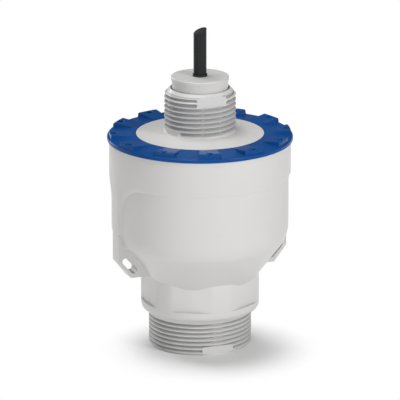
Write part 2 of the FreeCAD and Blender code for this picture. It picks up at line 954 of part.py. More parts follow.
def core(name, side):
    """One insulated core: straight from the cut end, then out to its terminal in two arcs, and down into it."""
    near = core_offset.value * side
    far = size.terminal_pitch.value / 2 * side
    top = size.cable_end.value + size.cable_radius.value
    bend_top = size.screen_start.value - 1
    foot = (supply_board_top + size.terminal_height - size.terminal_depth).value + 0.3
    bend_foot = bend_top - 6
    # two equal arcs turn the core aside and straight again
    shift = (far - near) / 2
    half_drop = (bend_top - bend_foot) / 2
    radius = (half_drop**2 + shift**2) / (2 * abs(shift))
    angle = math.asin(half_drop / radius)
    sagitta = radius * (1 - math.cos(angle / 2))
    reach = radius * math.sin(angle / 2)
    direction = math.copysign(1, shift)
    points = [
        FreeCAD.Vector(near, 0, top),
        FreeCAD.Vector(near, 0, bend_top),
        FreeCAD.Vector(near + direction * sagitta, 0, bend_top - reach),
        FreeCAD.Vector(near + shift, 0, bend_top - half_drop),
        FreeCAD.Vector(far - direction * sagitta, 0, bend_foot + reach),
        FreeCAD.Vector(far, 0, bend_foot),
        FreeCAD.Vector(far, 0, foot),
    ]
    path = Part.Wire(
        [
            Part.LineSegment(points[0], points[1]).toShape(),
            Part.Arc(points[1], points[2], points[3]).toShape(),
            Part.Arc(points[3], points[4], points[5]).toShape(),
            Part.LineSegment(points[5], points[6]).toShape(),
        ]
    )
    section = Part.Wire([Part.Circle(points[0], FreeCAD.Vector(0, 0, 1), size.core_radius.value).toShape()])
    rod = doc.addObject("Part::Feature", name + "_rod")
    rod.Shape = path.makePipeShell([section], True, True)
    parts[name] = cut(name, rod, cut_knife(name + "_knife"))


# Antenna


def lens_antenna():
    """A plano-convex lens with a flat rim, which lies on the closed antenna face."""
    rim = solid_rod("lens_rim", size.process_bore - size.slip, size.lens_edge, ON_AXIS, face_top)
    dome = size.lens_dome
    curve = (dome * dome + size.lens_rise * size.lens_rise) / (2 * size.lens_rise)
    blank = solid_rod("lens_blank", dome, size.lens_edge + size.lens_rise, ON_AXIS, face_top)
    ball = doc.addObject("Part::Sphere", "lens_ball")
    bind(ball, "Radius", curve)
    bind(ball, "Placement.Base.z", face_top + size.lens_edge + size.lens_rise - curve)
    crown = doc.addObject("Part::Common", "lens_crown")
    crown.Base = blank
    crown.Tool = ball
    parts["lens_antenna"] = joined("lens_antenna", [rim, crown])


def antenna_horn():
    """A turned horn: its lower flange sits on the lens's rim, its upper flange carries the radar board."""
    body = new_body("antenna_horn")
    foot = face_top + size.lens_edge
    outer = size.process_bore - size.slip
    wall = size.horn_wall
    mouth = size.lens_dome + size.slip
    throat = size.horn_throat
    flange_foot = size.board_seat - 2 * wall
    turn_profile(
        body,
        "horn",
        [
            (mouth, foot),
            (outer, foot),
            (outer, foot + wall),
            (mouth + wall, foot + wall),
            (throat + wall, flange_foot),
            (outer, flange_foot),
            (outer, size.board_seat),
            (throat, size.board_seat),
            (throat, flange_foot),
        ],
    )


def radar_chip():
    parts["radar_chip"] = solid_block(
        "radar_chip", size.chip_size, size.chip_size, size.chip_height, ON_AXIS, size.board_seat - size.chip_height
    )


# Boards and what they carry


def pillar_place(number):
    """Where each of the three pillars stands, in plan."""
    angle = math.radians(90 + 120 * number)
    return (size.pillar_circle * math.cos(angle), size.pillar_circle * math.sin(angle))


def drilled_board(name, radius, foot):
    """A round board with the three holes of the pillars."""
    plate = solid_rod(name + "_plate", radius, size.board_thickness, ON_AXIS, foot)
    holes = [
        solid_rod(
            f"{name}_hole_{n}",
            size.screw_radius + size.slip,
            size.board_thickness + 2,
            pillar_place(n),
            foot - 1,
        )
        for n in range(3)
    ]
    parts[name] = cut(name, plate, *holes)


def pillar(number):
    """A hexagonal pillar with a stud below and a tapped bore above."""
    place = pillar_place(number)
    stud_foot = size.board_seat - size.screw_depth
    bore_depth = size.screw_depth + 1
    bar = solid_hexagon(f"pillar_bar_{number}", size.pillar_width, size.pillar_height, place, radar_board_top)
    stud = solid_rod(
        f"pillar_stud_{number}", size.screw_radius - size.slip / 2, radar_board_top + 1 - stud_foot, place, stud_foot
    )
    bore = solid_rod(f"pillar_bore_{number}", size.screw_radius, bore_depth + 1, place, supply_board_foot - bore_depth)
    return cut(f"pillar_{number}", joined(f"pillar_blank_{number}", [bar, stud]), bore)


def board_screw(number):
    """A pan-head screw through the supply board into its pillar."""
    place = pillar_place(number)
    shank_foot = supply_board_foot - size.screw_depth
    shank = solid_rod(
        f"screw_shank_{number}",
        size.screw_radius - size.slip / 2,
        supply_board_top + 1 - shank_foot,
        place,
        shank_foot,
    )
    head = solid_rod(f"screw_head_{number}", size.screw_head_radius, size.screw_head_height, place, supply_board_top)
    socket_depth = size.screw_head_height * 0.6
    socket = solid_hexagon(
        f"screw_socket_{number}",
        size.screw_radius * 1.6,
        socket_depth + 1,
        place,
        supply_board_top + size.screw_head_height - socket_depth,
    )
    return cut(f"board_screw_{number}", joined(f"board_screw_blank_{number}", [shank, head]), socket)


def shield_can():
    centre = (term(0), size.shield_offset)
    wall = size.shield_wall
    blank = solid_block(
        "shield_blank", size.shield_length, size.shield_breadth, size.shield_height, centre, radar_board_top
    )
    hollow = solid_block(
        "shield_hollow",
        size.shield_length - 2 * wall,
        size.shield_breadth - 2 * wall,
        size.shield_height - wall + 1,
        centre,
        radar_board_top - 1,
    )
    parts["shield_can"] = cut("shield_can", blank, hollow)


def terminal_block():
    pitch = size.terminal_pitch
    height = size.terminal_height
    block = solid_block("terminal_blank", pitch * 2.2, size.terminal_breadth, height, ON_AXIS, supply_board_top)
    tools = []
    screws = []
    screw_height = supply_board_top + height / 2
    for side in (-1, 1):
        word = "left" if side < 0 else "right"
        place = (pitch / 2 * side, term(0))
        foot = supply_board_top + height - size.terminal_depth
        tools.append(solid_rod(f"wire_hole_{word}", size.core_radius + size.slip, height, place, foot))
        hole = solid_rod(f"screw_hole_{word}", size.terminal_screw + size.slip, size.terminal_breadth, place, 0)
        screw = solid_rod(f"terminal_screw_{word}", size.terminal_screw, 1.6, place, 0)
        for rod, start in ((hole, size.terminal_breadth / 2 - 2), (screw, size.terminal_breadth / 2 - 2 + size.slip / 2)):
            rod.Placement = FreeCAD.Placement(FreeCAD.Vector(), FreeCAD.Rotation(FreeCAD.Vector(1, 0, 0), 90))
            bind(rod, "Placement.Base.x", place[0])
            bind(rod, "Placement.Base.y", -start)
            bind(rod, "Placement.Base.z", screw_height)
        tools.append(hole)
        screws.append(screw)
    parts["terminal_block"] = cut("terminal_block", block, *tools)
    parts["terminal_screws"] = grouped("terminal_screws", screws)


def board_components():
    foot = supply_board_top
    radius = size.capacitor_radius
    high = size.capacitor_height
    cans = [
        solid_rod("capacitor_a", radius, high, (term(-20.0), term(4.0)), foot),
        solid_rod("capacitor_b", radius, high, (term(-13.0), term(13.5)), foot),
    ]
    parts["storage_capacitors"] = grouped("storage_capacitors", cans)
    parts["choke"] = solid_rod("choke", size.choke_radius, size.choke_height, (term(19.0), term(5.0)), foot)
    radius = size.arrester_radius
    high = size.arrester_height
    tubes = [
        solid_rod("arrester_a", radius, high, (term(8.0), term(14.0)), foot),
        solid_rod("arrester_b", radius, high, (term(14.5), term(18.0)), foot),
    ]
    parts["surge_arresters"] = grouped("surge_arresters", tubes)
    side = size.controller_size
    parts["controller_chip"] = solid_block(
        "controller_chip", side, side, size.controller_height, (term(7.5), term(-16.0)), foot
    )
    parts["radio_module"] = solid_block(
        "radio_module", size.radio_breadth, size.radio_length, size.radio_height, (term(-8.0), term(-21.0)), foot
    )
    parts["board_link"] = solid_block(
        "board_link", size.link_length, size.link_breadth, size.pillar_height, (term(0), size.link_offset), radar_board_top
    )


def electronics():
    drilled_board("radar_board", board_seat_radius - size.loose, size.board_seat)
    drilled_board("supply_board", size.supply_radius, supply_board_foot)
    parts["standoffs"] = grouped("standoffs", [pillar(n) for n in range(3)])
    parts["board_screws"] = grouped("board_screws", [board_screw(n) for n in range(3)])
    radar_chip()
    shield_can()
    terminal_block()
    board_components()


def export_parts():
    """Check every object and every sub-part, then write each sub-part to its own file."""
    doc.recompute()
    for item in doc.Objects:
        if "Invalid" in item.State or "Error" in item.State:
            raise RuntimeError(f"{item.Name} failed: {item.State}")
    for name, item in parts.items():
        if item.Shape.isNull() or not item.Shape.isValid() or not item.Shape.Solids:
            raise RuntimeError(f"{name} has no valid solid")
    os.makedirs("parts", exist_ok=True)
    for name, item in parts.items():
        item.Label = name
        item.Shape.exportStep(f"parts/{name}.step")
        print(f"{name}: {len(item.Shape.Solids)} solid(s), {item.Shape.Volume:.1f} mm3")


housing_cup()
housing_lid()
lock_ring()
seals()
entry_bush()
entry_nut()
cable_seal()
gland_screw()
strain_ferrule()
cable()
lens_antenna()
antenna_horn()
electronics()
export_parts()
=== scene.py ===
import json
import math

import bmesh
import bpy
import numpy as np
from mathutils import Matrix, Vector


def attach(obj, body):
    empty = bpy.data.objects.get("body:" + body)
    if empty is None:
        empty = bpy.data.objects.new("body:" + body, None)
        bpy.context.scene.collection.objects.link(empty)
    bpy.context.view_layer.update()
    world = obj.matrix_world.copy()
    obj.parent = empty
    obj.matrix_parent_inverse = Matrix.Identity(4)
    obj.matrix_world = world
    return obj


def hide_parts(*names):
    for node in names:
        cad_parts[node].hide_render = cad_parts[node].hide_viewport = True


# Radar level transmitter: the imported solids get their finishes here. Copies of the housing's cup and lid carry the
# two pipe threads and stand for the plain ones, as do a lock ring with ramped pads and a cable jacket with its cut
# end closed. Lengths are in millimetres unless they say otherwise, angles in degrees from the right.

MM = 0.001
GROOVE_PAINTED_SHADE = (0.36, 0.36, 0.365)  # painted shade: the housing's colour darkened at the root of a thread, for the groove's own shadow
PANEL_BORDER_DROP = 1.7  # by which the border round the recessed panels is lowered
SOFT_JOIN = 24.0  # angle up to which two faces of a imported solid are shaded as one
SHARP_FOLD = 28.0  # angle from which a fold in a finished piece stays sharp
RING_FOLD = 35.0  # the same for the lock ring
MERGE_REACH = 1e-7  # metres, within which loose corners are joined
CABLE_END = 149.4  # height of the cable's cut on the axis
CUT_SLOPE = 23.0  # angle by which the cut rises
PADS = 12  # on the lock ring
PAD_SPACING = 30.0
FIRST_PAD = 15.0
PIN_CIRCLE = 40.2  # radius on which the pads' pin holes lie

# The two pipe threads. start is the height and the angle at which the helix starts, and fades are the turns over
# which its depth grows and ends. span holds the heights between which the grooves get painted shade, and flat is
# how far the flat in front is from the axis. Each of full_flats is a block from corner to corner that fills the
# grooves on the flat, and plain_front gives the half breadth and the foot of a flat on which no groove is cut.
PROCESS_THREAD = {
    "radius": 23.9,
    "depth": 1.3,
    "root": 0.4,
    "mouth": 1.45,
    "pitch": 2.07,
    "start": (-1.035, 70.0),
    "turns": 7.95,
    "fades": (0.01, 0.25),
    "span": (1.1, 15.6),
    "flat": 22.57,
    "full_flats": [((-7.6, -22.575, 0.9), (7.6, -20.8, 3.99))],
}
CONDUIT_THREAD = {
    "radius": 16.62,
    "depth": 1.45,
    "root": 0.6,
    "mouth": 1.9,
    "pitch": 2.309,
    "start": (103.75, 212.0),
    "turns": 8.0,
    "fades": (0.01, 0.01),
    "span": (102.8, 121.5),
    "flat": 14.57,
    "full_flats": [],
    "plain_front": (7.6, 116.8),
}

# Turned outlines of radius and height
NECK_UNDERCUT = [(23.93, 16.0), (34.0, 16.0), (34.0, 17.8), (23.93, 17.8)]
CUP_RIM = [(38.75, 96.0), (42.07, 96.0), (42.07, 98.1), (38.75, 98.1)]
TUBE_FOOT = [
    (15.2, 100.3),
    (29.5, 100.4),
    (29.5, 100.93),
    (17.25, 102.36),
    (16.88, 102.5),
    (16.66, 102.9),
    (15.2, 102.9),
]

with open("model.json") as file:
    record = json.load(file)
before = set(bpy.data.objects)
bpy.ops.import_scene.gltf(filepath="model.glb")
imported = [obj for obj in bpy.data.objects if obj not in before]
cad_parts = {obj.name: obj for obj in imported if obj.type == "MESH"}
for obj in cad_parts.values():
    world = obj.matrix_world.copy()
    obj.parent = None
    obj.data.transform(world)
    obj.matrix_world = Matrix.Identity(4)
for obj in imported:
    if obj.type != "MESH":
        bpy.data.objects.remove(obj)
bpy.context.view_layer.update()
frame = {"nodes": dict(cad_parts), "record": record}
nodes = frame["nodes"]


# Shader groups that several finishes share


def node_group(name, inputs, outputs):
    """An empty shader group with named sockets: inputs as (name, kind, value), outputs as (name, kind)."""
    group = bpy.data.node_groups.new(name, "ShaderNodeTree")
    for label, kind, value in inputs:
        socket = group.interface.new_socket(name=label, in_out="INPUT", socket_type="NodeSocket" + kind)
        socket.default_value = value
    for label, kind in outputs:
        group.interface.new_socket(name=label, in_out="OUTPUT", socket_type="NodeSocket" + kind)
    return group, group.nodes.new("NodeGroupInput"), group.nodes.new("NodeGroupOutput")


def add(tree, kind, **settings):
    """One node with its properties; a setting that names a socket sets the socket's value."""
    node = tree.nodes.new("ShaderNode" + kind)
    for key, value in settings.items():
        if hasattr(node, key):
            setattr(node, key, value)
        else:
            node.inputs[key.replace("_", " ")].default_value = value
    return node


def moulded_grain_group():
    """Satin of a moulded plastic: a slow drift of tone, and a fine grain in the gloss and in the surface."""
    group, entry, leave = node_group(
        "moulded_grain",
        [
            ("Tone", "Color", (0.8, 0.8, 0.8, 1.0)),
            ("Shade Tone", "Color", (0.7, 0.7, 0.7, 1.0)),
            ("Grain Scale", "Float", 2200.0),
            ("Polish", "Float", 0.3),
            ("Matt", "Float", 0.4),
            ("Depth", "Float", 0.1),
        ],
        [("Color", "Color"), ("Roughness", "Float"), ("Normal", "Vector")],
    )
    place = add(group, "TexCoord")
    drift = add(group, "TexNoise", Scale=38.0, Detail=2.0, Roughness=0.5)
    grain = add(group, "TexNoise", Detail=3.0, Roughness=0.6)
    tone = add(group, "Mix", data_type="RGBA")
    gloss = add(group, "MapRange")
    bump = add(group, "Bump", Distance=0.00004)
    link = group.links.new
    link(place.outputs["Object"], drift.inputs["Vector"])
    link(place.outputs["Object"], grain.inputs["Vector"])
    link(entry.outputs["Grain Scale"], grain.inputs["Scale"])
    link(drift.outputs["Fac"], tone.inputs["Factor"])
    link(entry.outputs["Tone"], tone.inputs["A"])
    link(entry.outputs["Shade Tone"], tone.inputs["B"])
    link(grain.outputs["Fac"], gloss.inputs["Value"])
    link(entry.outputs["Polish"], gloss.inputs["To Min"])
    link(entry.outputs["Matt"], gloss.inputs["To Max"])
    link(grain.outputs["Fac"], bump.inputs["Height"])
    link(entry.outputs["Depth"], bump.inputs["Strength"])
    link(tone.outputs["Result"], leave.inputs["Color"])
    link(gloss.outputs["Result"], leave.inputs["Roughness"])
    link(bump.outputs["Normal"], leave.inputs["Normal"])
    return group


def turning_marks_group():
    """Fine rings that a tool leaves on turned or drawn metal, with a blotchy change of gloss."""
    group, entry, leave = node_group(
        "turning_marks",
        [
            ("Tone", "Color", (0.7, 0.7, 0.7, 1.0)),
            ("Shade Tone", "Color", (0.5, 0.5, 0.5, 1.0)),
            ("Polish", "Float", 0.2),
            ("Matt", "Float", 0.4),
            ("Depth", "Float", 0.1),
        ],
        [("Color", "Color"), ("Roughness", "Float"), ("Normal", "Vector")],
    )
    place = add(group, "TexCoord")
    stretch = add(group, "Mapping")
    stretch.inputs["Scale"].default_value = (60.0, 60.0, 6000.0)
    marks = add(group, "TexNoise", Scale=1.0, Detail=2.0, Roughness=0.5)
    blotch = add(group, "TexNoise", Scale=400.0, Detail=2.0, Roughness=0.5)
    tone = add(group, "Mix", data_type="RGBA")
    gloss = add(group, "MapRange")
    bump = add(group, "Bump", Distance=0.00002)
    link = group.links.new
    link(place.outputs["Object"], stretch.inputs["Vector"])
    link(stretch.outputs["Vector"], marks.inputs["Vector"])
    link(place.outputs["Object"], blotch.inputs["Vector"])
    link(blotch.outputs["Fac"], tone.inputs["Factor"])
    link(entry.outputs["Tone"], tone.inputs["A"])
    link(entry.outputs["Shade Tone"], tone.inputs["B"])
    link(marks.outputs["Fac"], gloss.inputs["Value"])
    link(entry.outputs["Polish"], gloss.inputs["To Min"])
    link(entry.outputs["Matt"], gloss.inputs["To Max"])
    link(marks.outputs["Fac"], bump.inputs["Height"])
    link(entry.outputs["Depth"], bump.inputs["Strength"])
    link(tone.outputs["Result"], leave.inputs["Color"])
    link(gloss.outputs["Result"], leave.inputs["Roughness"])
    link(bump.outputs["Normal"], leave.inputs["Normal"])
    return group


def painted_groove_shade_group():
    """Painted shade in a thread's groove, where its own shadow falls: 1 at its root and 0 at its crest, within a span
    of heights.

    A flat that is cut across the thread and the walls inside the shaft stay at 0: the mask counts only within
    groove_reach of the radius Shaft, and not within flat_reach of the plane Flat, both in metres.
    """
    groove_reach = 0.0009
    flat_reach = 0.00006
    group, entry, leave = node_group(
        "painted_groove_shade",
        [
            ("Crest", "Float", 0.02),
            ("Root", "Float", 0.018),
            ("Shaft", "Float", 0.019),
            ("Middle", "Float", 0.0),
            ("Half Span", "Float", 0.01),
            ("Flat", "Float", 0.02),
        ],
        [("Mask", "Float")],
    )
    place = add(group, "TexCoord")
    apart = add(group, "SeparateXYZ")
    level = add(group, "CombineXYZ")
    radius = add(group, "VectorMath", operation="LENGTH")
    depth = add(group, "MapRange")
    outside = add(group, "Math", operation="COMPARE")
    outside.inputs[2].default_value = groove_reach
    deep = add(group, "Math", operation="MULTIPLY")
    span = add(group, "Math", operation="COMPARE")
    flat = add(group, "Math", operation="COMPARE")
    flat.inputs[2].default_value = flat_reach
    free = add(group, "Math", operation="SUBTRACT")
    free.inputs[0].default_value = 1.0
    within = add(group, "Math", operation="MULTIPLY")
    mask = add(group, "Math", operation="MULTIPLY")
    link = group.links.new
    link(place.outputs["Object"], apart.inputs["Vector"])
    link(apart.outputs["X"], level.inputs["X"])
    link(apart.outputs["Y"], level.inputs["Y"])
    link(level.outputs["Vector"], radius.inputs[0])
    link(radius.outputs["Value"], depth.inputs["Value"])
    link(entry.outputs["Crest"], depth.inputs["From Min"])
    link(entry.outputs["Root"], depth.inputs["From Max"])
    link(apart.outputs["Z"], span.inputs[0])
    link(entry.outputs["Middle"], span.inputs[1])
    link(entry.outputs["Half Span"], span.inputs[2])
    link(apart.outputs["Y"], flat.inputs[0])
    link(entry.outputs["Flat"], flat.inputs[1])
    link(flat.outputs["Value"], free.inputs[1])
    link(radius.outputs["Value"], outside.inputs[0])
    link(entry.outputs["Shaft"], outside.inputs[1])
    link(depth.outputs["Result"], deep.inputs[0])
    link(outside.outputs["Value"], deep.inputs[1])
    link(deep.outputs["Value"], within.inputs[0])
    link(span.outputs["Value"], within.inputs[1])
    link(within.outputs["Value"], mask.inputs[0])
    link(free.outputs["Value"], mask.inputs[1])
    link(mask.outputs["Value"], leave.inputs["Mask"])
    return group


moulded_grain = moulded_grain_group()
# mask of the painted shade in the thread grooves
painted_groove_shade = painted_groove_shade_group()
turning_marks = turning_marks_group()


def finish_from(name, group, values, **constants):
    """A finish whose colour, gloss and normal come from one group, with the other values plain on the shader."""
    material = bpy.data.materials.new(name)
    material.use_nodes = True
    tree = material.node_tree
    shader = tree.nodes["Principled BSDF"]
    source = tree.nodes.new("ShaderNodeGroup")
    source.node_tree = group
    for label, value in values.items():
        source.inputs[label].default_value = value
    for label, value in constants.items():
        shader.inputs[label.replace("_", " ")].default_value = value
    tree.links.new(source.outputs["Color"], shader.inputs["Base Color"])
    tree.links.new(source.outputs["Roughness"], shader.inputs["Roughness"])
    tree.links.new(source.outputs["Normal"], shader.inputs["Normal"])
    return material


def plastic(name, tone, shade, polish, matt, depth=0.1, scale=2200.0, **constants):
    """A moulded or rubbery finish between two tones and two grades of gloss."""
    values = {
        "Tone": (*tone, 1.0),
        "Shade Tone": (*shade, 1.0),
        "Grain Scale": scale,
        "Polish": polish,
        "Matt": matt,
        "Depth": depth,
    }
    return finish_from(name, moulded_grain, values, **constants)


def metal(name, tone, shade, polish, matt):
    """A turned or drawn metal between two tones and two grades of gloss."""
    values = {"Tone": (*tone, 1.0), "Shade Tone": (*shade, 1.0), "Polish": polish, "Matt": matt, "Depth": 0.1}
    return finish_from(name, turning_marks, values, Metallic=1.0)


def housing_with_painted_groove_shade():
    """The housing's plastic, with painted shade in the grooves of the two threads, where their own shadow falls.

    A crest keeps the plain tone down to crest_margin below its top.
    """
    crest_margin = 0.1
    material = plastic("moulded_housing", (0.66, 0.655, 0.645), (0.63, 0.625, 0.615), 0.30, 0.40)
    tree = material.node_tree
    shader = tree.nodes["Principled BSDF"]
    source = shader.inputs["Base Color"].links[0].from_socket
    masks = []
    for thread in (PROCESS_THREAD, CONDUIT_THREAD):
        place = tree.nodes.new("ShaderNodeGroup")
        place.node_tree = painted_groove_shade
        low, high = thread["span"]
        place.inputs["Crest"].default_value = (thread["radius"] - crest_margin) * MM
        place.inputs["Root"].default_value = (thread["radius"] - thread["depth"]) * MM
        place.inputs["Shaft"].default_value = (thread["radius"] - thread["depth"] / 2) * MM
        place.inputs["Middle"].default_value = (low + high) / 2 * MM
        place.inputs["Half Span"].default_value = (high - low) / 2 * MM
        place.inputs["Flat"].default_value = -thread["flat"] * MM
        masks.append(place.outputs["Mask"])
    # Painted shade: the colour is mixed towards a darker grey in the thread grooves, where their shadow falls.
    both = add(tree, "Math", operation="MAXIMUM")
    tone = add(tree, "Mix", data_type="RGBA")
    tone.inputs["B"].default_value = (*GROOVE_PAINTED_SHADE, 1.0)
    tree.links.new(masks[0], both.inputs[0])
    tree.links.new(masks[1], both.inputs[1])
    tree.links.new(both.outputs["Value"], tone.inputs["Factor"])
    tree.links.new(source, tone.inputs["A"])
    tree.links.new(tone.outputs["Result"], shader.inputs["Base Color"])
    return material


FINISHES = {
    # the housing's finish carries painted shade in its thread grooves
    "housing": housing_with_painted_groove_shade(),
    "ring_blue": plastic(
        "glossy_blue", (0.006, 0.070, 0.265), (0.005, 0.062, 0.24), 0.22, 0.28, 0.02, Specular_IOR_Level=0.12
    ),
    "bush_plastic": plastic("turned_bush", (0.64, 0.635, 0.625), (0.61, 0.605, 0.595), 0.30, 0.40),
    "jacket_black": plastic(
        "cable_jacket", (0.010, 0.011, 0.012), (0.008, 0.009, 0.010), 0.50, 0.62, 0.20, 1500.0, Specular_IOR_Level=0.3
    ),
    "seal_rubber": plastic("seal_rubber", (0.012, 0.012, 0.013), (0.009, 0.009, 0.010), 0.55, 0.70, 0.25, 1800.0),
    "plated_brass": metal("nickel_plated_brass", (0.62, 0.60, 0.52), (0.55, 0.53, 0.46), 0.22, 0.36),
    "screw_steel": metal("screw_steel", (0.55, 0.55, 0.56), (0.48, 0.48, 0.49), 0.25, 0.40),
    "tinned_metal": metal("tinned_metal", (0.66, 0.67, 0.68), (0.58, 0.59, 0.60), 0.30, 0.45),
    "horn_metal": metal("turned_horn", (0.72, 0.72, 0.73), (0.66, 0.66, 0.67), 0.22, 0.38),
    "lens_white": plastic("turned_lens", (0.80, 0.80, 0.79), (0.76, 0.76, 0.75), 0.40, 0.50),
    "board_green": plastic("solder_resist", (0.020, 0.120, 0.045), (0.014, 0.095, 0.035), 0.25, 0.40),
    "chip_black": plastic("chip_body", (0.018, 0.018, 0.019), (0.014, 0.014, 0.015), 0.50, 0.62, 0.20),
    "terminal_green": plastic("terminal_body", (0.050, 0.300, 0.110), (0.040, 0.260, 0.095), 0.35, 0.45),
    "capacitor_sleeve": plastic("capacitor_sleeve", (0.020, 0.022, 0.040), (0.016, 0.018, 0.034), 0.25, 0.35),
    "core_brown": plastic("core_brown", (0.110, 0.040, 0.014), (0.095, 0.034, 0.012), 0.35, 0.45),
    "core_blue": plastic("core_blue", (0.010, 0.060, 0.330), (0.008, 0.052, 0.300), 0.35, 0.45),
}


def finish_nodes():
    """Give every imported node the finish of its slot."""
    slots = {part["node"]: part["material_slot"] for part in frame["record"]["subparts"]}
    for name, node in nodes.items():
        node.data.materials.clear()
        node.data.materials.append(FINISHES[slots[name]])


# Shapes that several pieces share


def smooth_step(value):
    """0 below 0, 1 above 1, and 3 v^2 - 2 v^3 between them."""
    value = np.clip(value, 0.0, 1.0)
    return value * value * (3 - 2 * value)


def lattice(name, grid, closed):
    """A closed body from a lattice of points in millimetres: the points of a row go round its section.

    The last row joins the first where closed is true; otherwise each end row carries one flat face.
    """
    rows, corners = grid.shape[:2]
    index = np.arange(rows * corners).reshape(rows, corners)
    near = index if closed else index[:-1]
    far = np.roll(index, -1, axis=0) if closed else index[1:]
    quads = np.stack([near, far, np.roll(far, -1, axis=1), np.roll(near, -1, axis=1)], axis=-1)
    ends = [] if closed else [index[0].tolist(), index[-1][::-1].tolist()]
    mesh = bpy.data.meshes.new(name)
    mesh.from_pydata((grid.reshape(-1, 3) * MM).tolist(), [], quads.reshape(-1, 4).tolist() + ends)
    mesh.validate()
    turn_outwards(mesh)
    piece = bpy.data.objects.new(name, mesh)
    bpy.context.scene.collection.objects.link(piece)
    return piece


def turn_outwards(mesh):
    """Turn every face of a closed mesh outwards."""
    work = bmesh.new()
    work.from_mesh(mesh)
    bmesh.ops.recalc_face_normals(work, faces=work.faces)
    work.to_mesh(mesh)
    work.free()


def turned_sleeve(name, outline):
    """A closed outline of radius r and height z, turned: at angle t a corner is at (r cos t, r sin t, z)."""
    steps = 240
    r, z = np.array(outline).T
    t = np.linspace(0.0, 2 * math.pi, steps, endpoint=False)[:, None]
    grid = np.stack([r * np.cos(t), r * np.sin(t), z + 0 * t], axis=-1)
    return lattice(name, grid, True)


def plain_block(name, low, high):
    """A box between two corners."""
    x = np.array([low[0], high[0]])[:, None]
    y = np.array([low[1], high[1], high[1], low[1]])[None, :]
    z = np.array([low[2], low[2], high[2], high[2]])[None, :]
    return lattice(name, np.stack([x + 0 * y, y + 0 * x, z + 0 * x], axis=-1), False)


# Threads


def helix_groove(name, thread):
    """The space between the crests of a right-hand thread, as a closed tube on a helix.

    At angle t from its start the tube's middle is at start height + pitch * t / full turn. Its section is a
    trapezium in radius and height: root broad at the full depth, mouth broad at the crest, and wider still
    outside it. The crest's edges are broken down to lead, and the root's corners start at corner, a share of the
    depth, and are drawn in by trim. The depth is multiplied by smooth steps over the two fades, in turns, at the
    two ends. Where the thread has a plain front, it falls to 0 over 1 mm, above a height and within a half breadth
    of the front.
    """
    steps_per_turn = 120
    lead, flare, outer, overlap = 0.14, 0.12, 0.5, 0.06
    corner, corner_rest, trim = 0.86, 0.14, 0.08
    radius, depth, root, mouth = thread["radius"], thread["depth"], thread["root"], thread["mouth"]
    start_height, start_angle = thread["start"]
    along = np.linspace(0.0, thread["turns"], int(steps_per_turn * thread["turns"]) + 1)
    turn = math.radians(start_angle) + 2 * math.pi * along
    middle = start_height + thread["pitch"] * along
    growing, ending = thread["fades"]
    deep = depth * smooth_step(along / growing) * smooth_step((thread["turns"] - along) / ending)
    if "plain_front" in thread:
        half_breadth, foot = thread["plain_front"]
        aside = np.abs(radius * np.cos(turn)) - half_breadth
        above = (np.sin(turn) < 0) & (middle > foot)
        deep = deep * np.where(above, smooth_step(aside + 0.5), 1.0)
    slope = (mouth - root) / (2 * depth)
    # each corner: share of the depth, outward shift, half breadth
    share = np.array([0.0, 0.0, 0.0, corner, 1.0, 1.0, corner, 0.0, 0.0, 0.0])
    shift = np.array([outer, overlap, -lead, 0.0, 0.0, 0.0, 0.0, -lead, overlap, outer])
    half = mouth / 2
    corner_half = root / 2 + slope * depth * corner_rest
    side = np.array([half + lead + flare, half + lead, half, corner_half, root / 2 - trim])
    across = np.concatenate([-side, side[::-1]])
    r = radius + shift[None, :] - share[None, :] * deep[:, None]
    angle = turn[:, None]
    z = middle[:, None] + across[None, :]
    return lattice(name, np.stack([r * np.cos(angle), r * np.sin(angle), z], axis=-1), False)


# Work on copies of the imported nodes


def merged_copy(node_name, name):
    """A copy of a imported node's mesh with its loose triangles joined, as an object of its own.

    An edge between two of the solid's faces is marked sharp where they meet at more than SOFT_JOIN, so that the
    neck's flats run softly into its round corners.
    """
    work = bmesh.new()
    work.from_mesh(nodes[node_name].data)
    for edge in work.edges:
        edge.smooth = not edge.is_boundary
    bmesh.ops.remove_doubles(work, verts=work.verts, dist=MERGE_REACH)
    for edge in work.edges:
        if not edge.smooth and edge.calc_face_angle(0.0) < math.radians(SOFT_JOIN):
            edge.smooth = True
    mesh = bpy.data.meshes.new(name)
    work.to_mesh(mesh)
    work.free()
    piece = bpy.data.objects.new(name, mesh)
    bpy.context.scene.collection.objects.link(piece)
    return piece


def crease(mesh, limit):
    """Smooth faces; edges that are marked, and those that turn by more than a limit in degrees, stay sharp."""
    work = bmesh.new()
    work.from_mesh(mesh)
    for face in work.faces:
        face.smooth = True
    for edge in work.edges:
        if edge.calc_face_angle(0.0) > math.radians(limit):
            edge.smooth = False
    work.to_mesh(mesh)
    work.free()


def combine(piece, operation, other):
    """Join another body to a piece or take it away, and bake the result into the piece's mesh.

    The solver can leave nothing without a word, so an empty result stops the script.
    """
    joining = piece.modifiers.new("joining", "BOOLEAN")
    joining.operation = operation
    joining.solver = "EXACT"
    joining.object = other
    bpy.context.view_layer.update()
    result = bpy.data.meshes.new_from_object(piece.evaluated_get(bpy.context.evaluated_depsgraph_get()))
    if not result.polygons:
        raise RuntimeError(f"nothing is left of {piece.name} after {other.name}")
    piece.modifiers.clear()
    piece.data = result
    bpy.data.objects.remove(other)


def lowered_border(mesh, drop):
    """Lower the border round the recessed panels on the outer wall.

    A corner outside the wall's radius goes down by drop * rise * (1 - fall), where rise is a smooth step over the
    blend from the lower height and fall is one from the upper height. The wall is a plain cylinder there and keeps
    its form.
    """
    wall, lower, upper, blend = 39.5, 58.0, 86.0, 10.0
    place = np.empty(len(mesh.vertices) * 3)
    mesh.vertices.foreach_get("co", place)
    place = place.reshape(-1, 3)
    z = place[:, 2] / MM
    outside = np.hypot(place[:, 0], place[:, 1]) / MM > wall
    rise = smooth_step((z - lower) / blend)
    fall = smooth_step((z - upper) / blend)
    place[:, 2] -= outside * drop * MM * rise * (1 - fall)
    mesh.vertices.foreach_set("co", place.reshape(-1))
    mesh.update()


